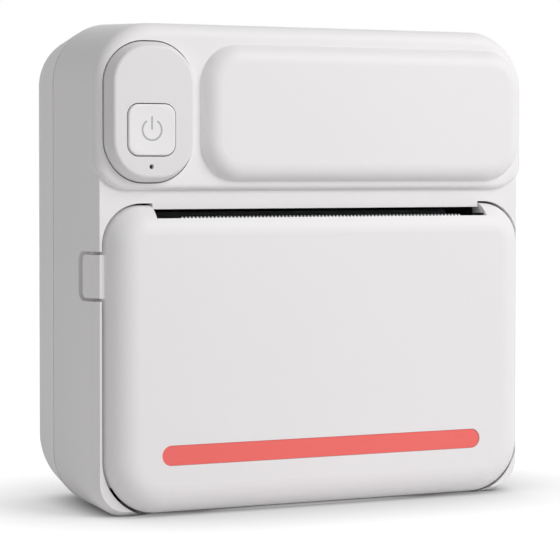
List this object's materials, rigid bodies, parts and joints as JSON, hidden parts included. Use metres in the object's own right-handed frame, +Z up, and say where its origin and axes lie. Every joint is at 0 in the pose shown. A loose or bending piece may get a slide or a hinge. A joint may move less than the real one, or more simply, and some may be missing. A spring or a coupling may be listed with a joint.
{
  "type": "portable thermal printer",
  "caption": "Rounded square portable thermal printer that stands on its base, with a front cover hinged at its foot, paper slot, finger tab, coloured strip and power button.",
  "frame": {"origin": "middle of the base's bounding box, on the surface the printer stands on", "axes": "+Z up, -Y towards the front with the cover, X along the width"},
  "size_m": [0.0842, 0.0372, 0.083],
  "materials": {
    "case": "fine moulded texture",
    "cover": "fine moulded texture",
    "panel": "fine moulded texture",
    "button": "smooth satin",
    "strip": "satin",
    "liner": "moulded",
    "tear_bar": "stamped",
    "screws": "plated",
    "pins": "ground",
    "platen_rubber": "ground rubber",
    "gears": "moulded",
    "pinion": "cut",
    "bushes": "moulded",
    "mechanism_frame": "stamped and plated",
    "motor": "drawn can",
    "spring": "spring steel",
    "head_ceramic": "glazed",
    "heat_sink": "extruded",
    "board": "solder mask",
    "led": "clear resin",
    "light_pipe": "smoked clear",
    "switch": "moulded",
    "plunger": "moulded",
    "socket": "drawn and plated",
    "battery": "laminate pouch"
  },
  "bodies": {
    "root": {"front_shell": "case", "rear_shell": "case", "control_panel": "panel", "light_pipe": "light_pipe", "status_led": "led", "tact_switch": "switch", "main_board": "board", "board_screws": "screws", "usb_socket": "socket", "battery_cell": "battery", "case_screws": "screws", "paper_bin": "liner", "mechanism_frame": "mechanism_frame", "frame_screws": "screws", "stepper_motor": "motor", "motor_screws": "screws", "gear_posts": "pins", "head_pivot_pin": "pins", "head_spring": "spring"},
    "cover": {"cover_shell": "cover", "accent_strip": "strip", "cover_liner": "liner", "liner_screws": "screws", "tear_bar": "tear_bar", "hinge_pins": "pins", "platen_bushes": "bushes"},
    "platen": {"platen_shaft": "pins", "platen_rubber": "platen_rubber", "platen_gear": "gears"},
    "button": {"power_button": "button", "switch_plunger": "plunger"},
    "idler": {"idler_gear": "gears"},
    "reduction": {"reduction_gear": "gears"},
    "pinion": {"motor_shaft": "pins", "motor_pinion": "pinion"},
    "head": {"thermal_head": "head_ceramic", "head_heat_sink": "heat_sink"}
  },
  "joints": [
    {"name": "cover_hinge", "type": "hinge", "parent": "root", "child": "cover", "pos_m": [0, -0.0146, 0.005], "axis": [1, 0, 0], "range_deg": [0, 88]},
    {"name": "platen_spin", "type": "hinge", "parent": "cover", "child": "platen", "pos_m": [0, -0.0088, 0.0446], "axis": [1, 0, 0], "continuous": true},
    {"name": "idler_spin", "type": "hinge", "parent": "root", "child": "idler", "pos_m": [0.03535, -0.00047, 0.04157], "axis": [1, 0, 0], "continuous": true},
    {"name": "reduction_spin", "type": "hinge", "parent": "root", "child": "reduction", "pos_m": [0.0362, 0.00628, 0.04276], "axis": [1, 0, 0], "continuous": true},
    {"name": "pinion_spin", "type": "hinge", "parent": "root", "child": "pinion", "pos_m": [0.032, 0.00837, 0.05055], "axis": [1, 0, 0], "continuous": true},
    {"name": "head_pivot", "type": "hinge", "parent": "root", "child": "head", "pos_m": [0, 0.00304, 0.04393], "axis": [1, 0, 0], "range_deg": [-1.5, 0], "stiffness_Nm_per_rad": 0.5, "springref_deg": 8.59},
    {"name": "button_press", "type": "slide", "parent": "root", "child": "button", "axis": [0, 1, 0], "range_m": [0, 0.0005], "stiffness_N_per_m": 400, "springref_m": -0.0005}
  ],
  "couplings": [
    {"joint": "idler_spin", "follows": "platen_spin", "ratio": -1.2},
    {"joint": "reduction_spin", "follows": "platen_spin", "ratio": 1.7143},
    {"joint": "pinion_spin", "follows": "platen_spin", "ratio": -4}
  ]
}
